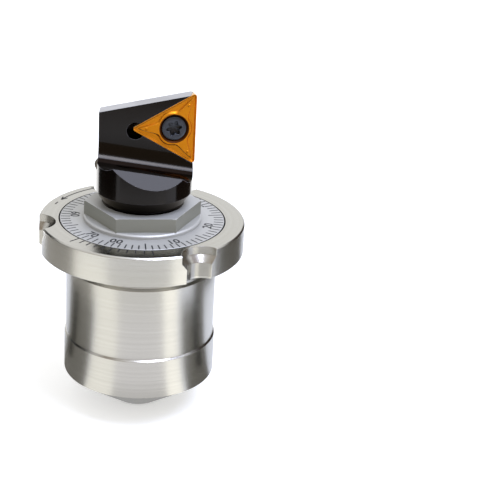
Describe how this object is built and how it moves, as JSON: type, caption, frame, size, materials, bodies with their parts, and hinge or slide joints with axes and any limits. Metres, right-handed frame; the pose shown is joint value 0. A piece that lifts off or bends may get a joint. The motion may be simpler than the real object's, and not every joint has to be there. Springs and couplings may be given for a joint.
{
  "type": "fine boring head cartridge",
  "caption": "Flanged micrometer boring unit: a graduated hexagon nut drives a keyed black holder with a triangular insert along the axis.",
  "frame": {"origin": "on the unit's axis, in the plane of the flange's seating face", "axes": "+Z along the axis towards the cutting insert, +X towards the cutting tip, -Y out of the insert's rake face"},
  "size_m": [0.0304, 0.0304, 0.0489],
  "materials": {
    "housing_steel": "satin nickel-plated steel, finely turned",
    "dial_steel": "pale satin steel with blackened scale marks",
    "black_steel": "glossy black oxide on ground steel",
    "coated_carbide": "orange-gold hard coating on sintered carbide",
    "screw_steel": "dark blued steel",
    "hardened_steel": "ground hardened steel",
    "spring_steel": "oiled spring steel",
    "bearing_bronze": "bearing bronze",
    "seal_rubber": "black nitrile rubber"
  },
  "bodies": {
    "housing_unit": {"housing": "housing_steel", "guide_sleeve": "hardened_steel", "guide_key": "hardened_steel", "sleeve_pin": "hardened_steel", "rear_cap": "housing_steel", "cap_seal_ring": "seal_rubber", "thrust_washer": "bearing_bronze", "disc_springs": "spring_steel"},
    "dial": {"dial_nut": "dial_steel", "dial_seal_ring": "seal_rubber", "neck_wiper_ring": "seal_rubber", "retaining_ring": "spring_steel"},
    "holder": {"tool_holder": "black_steel", "insert": "coated_carbide", "insert_screw": "screw_steel", "draw_screw": "screw_steel", "spring_plate": "hardened_steel"}
  },
  "joints": [
    {"name": "dial_turn", "type": "hinge", "parent": "housing_unit", "child": "dial", "pos_m": [0, 0, 0.0046], "axis": [0, 0, -1], "range_deg": [0, 960]},
    {"name": "holder_slide", "type": "slide", "parent": "housing_unit", "child": "holder", "axis": [0, 0, 1], "range_m": [0, 0.002], "deforming": ["disc_springs"]}
  ],
  "couplings": [
    {"joint": "holder_slide", "follows": "dial_turn", "m_per_rad": 0.00011937}
  ]
}
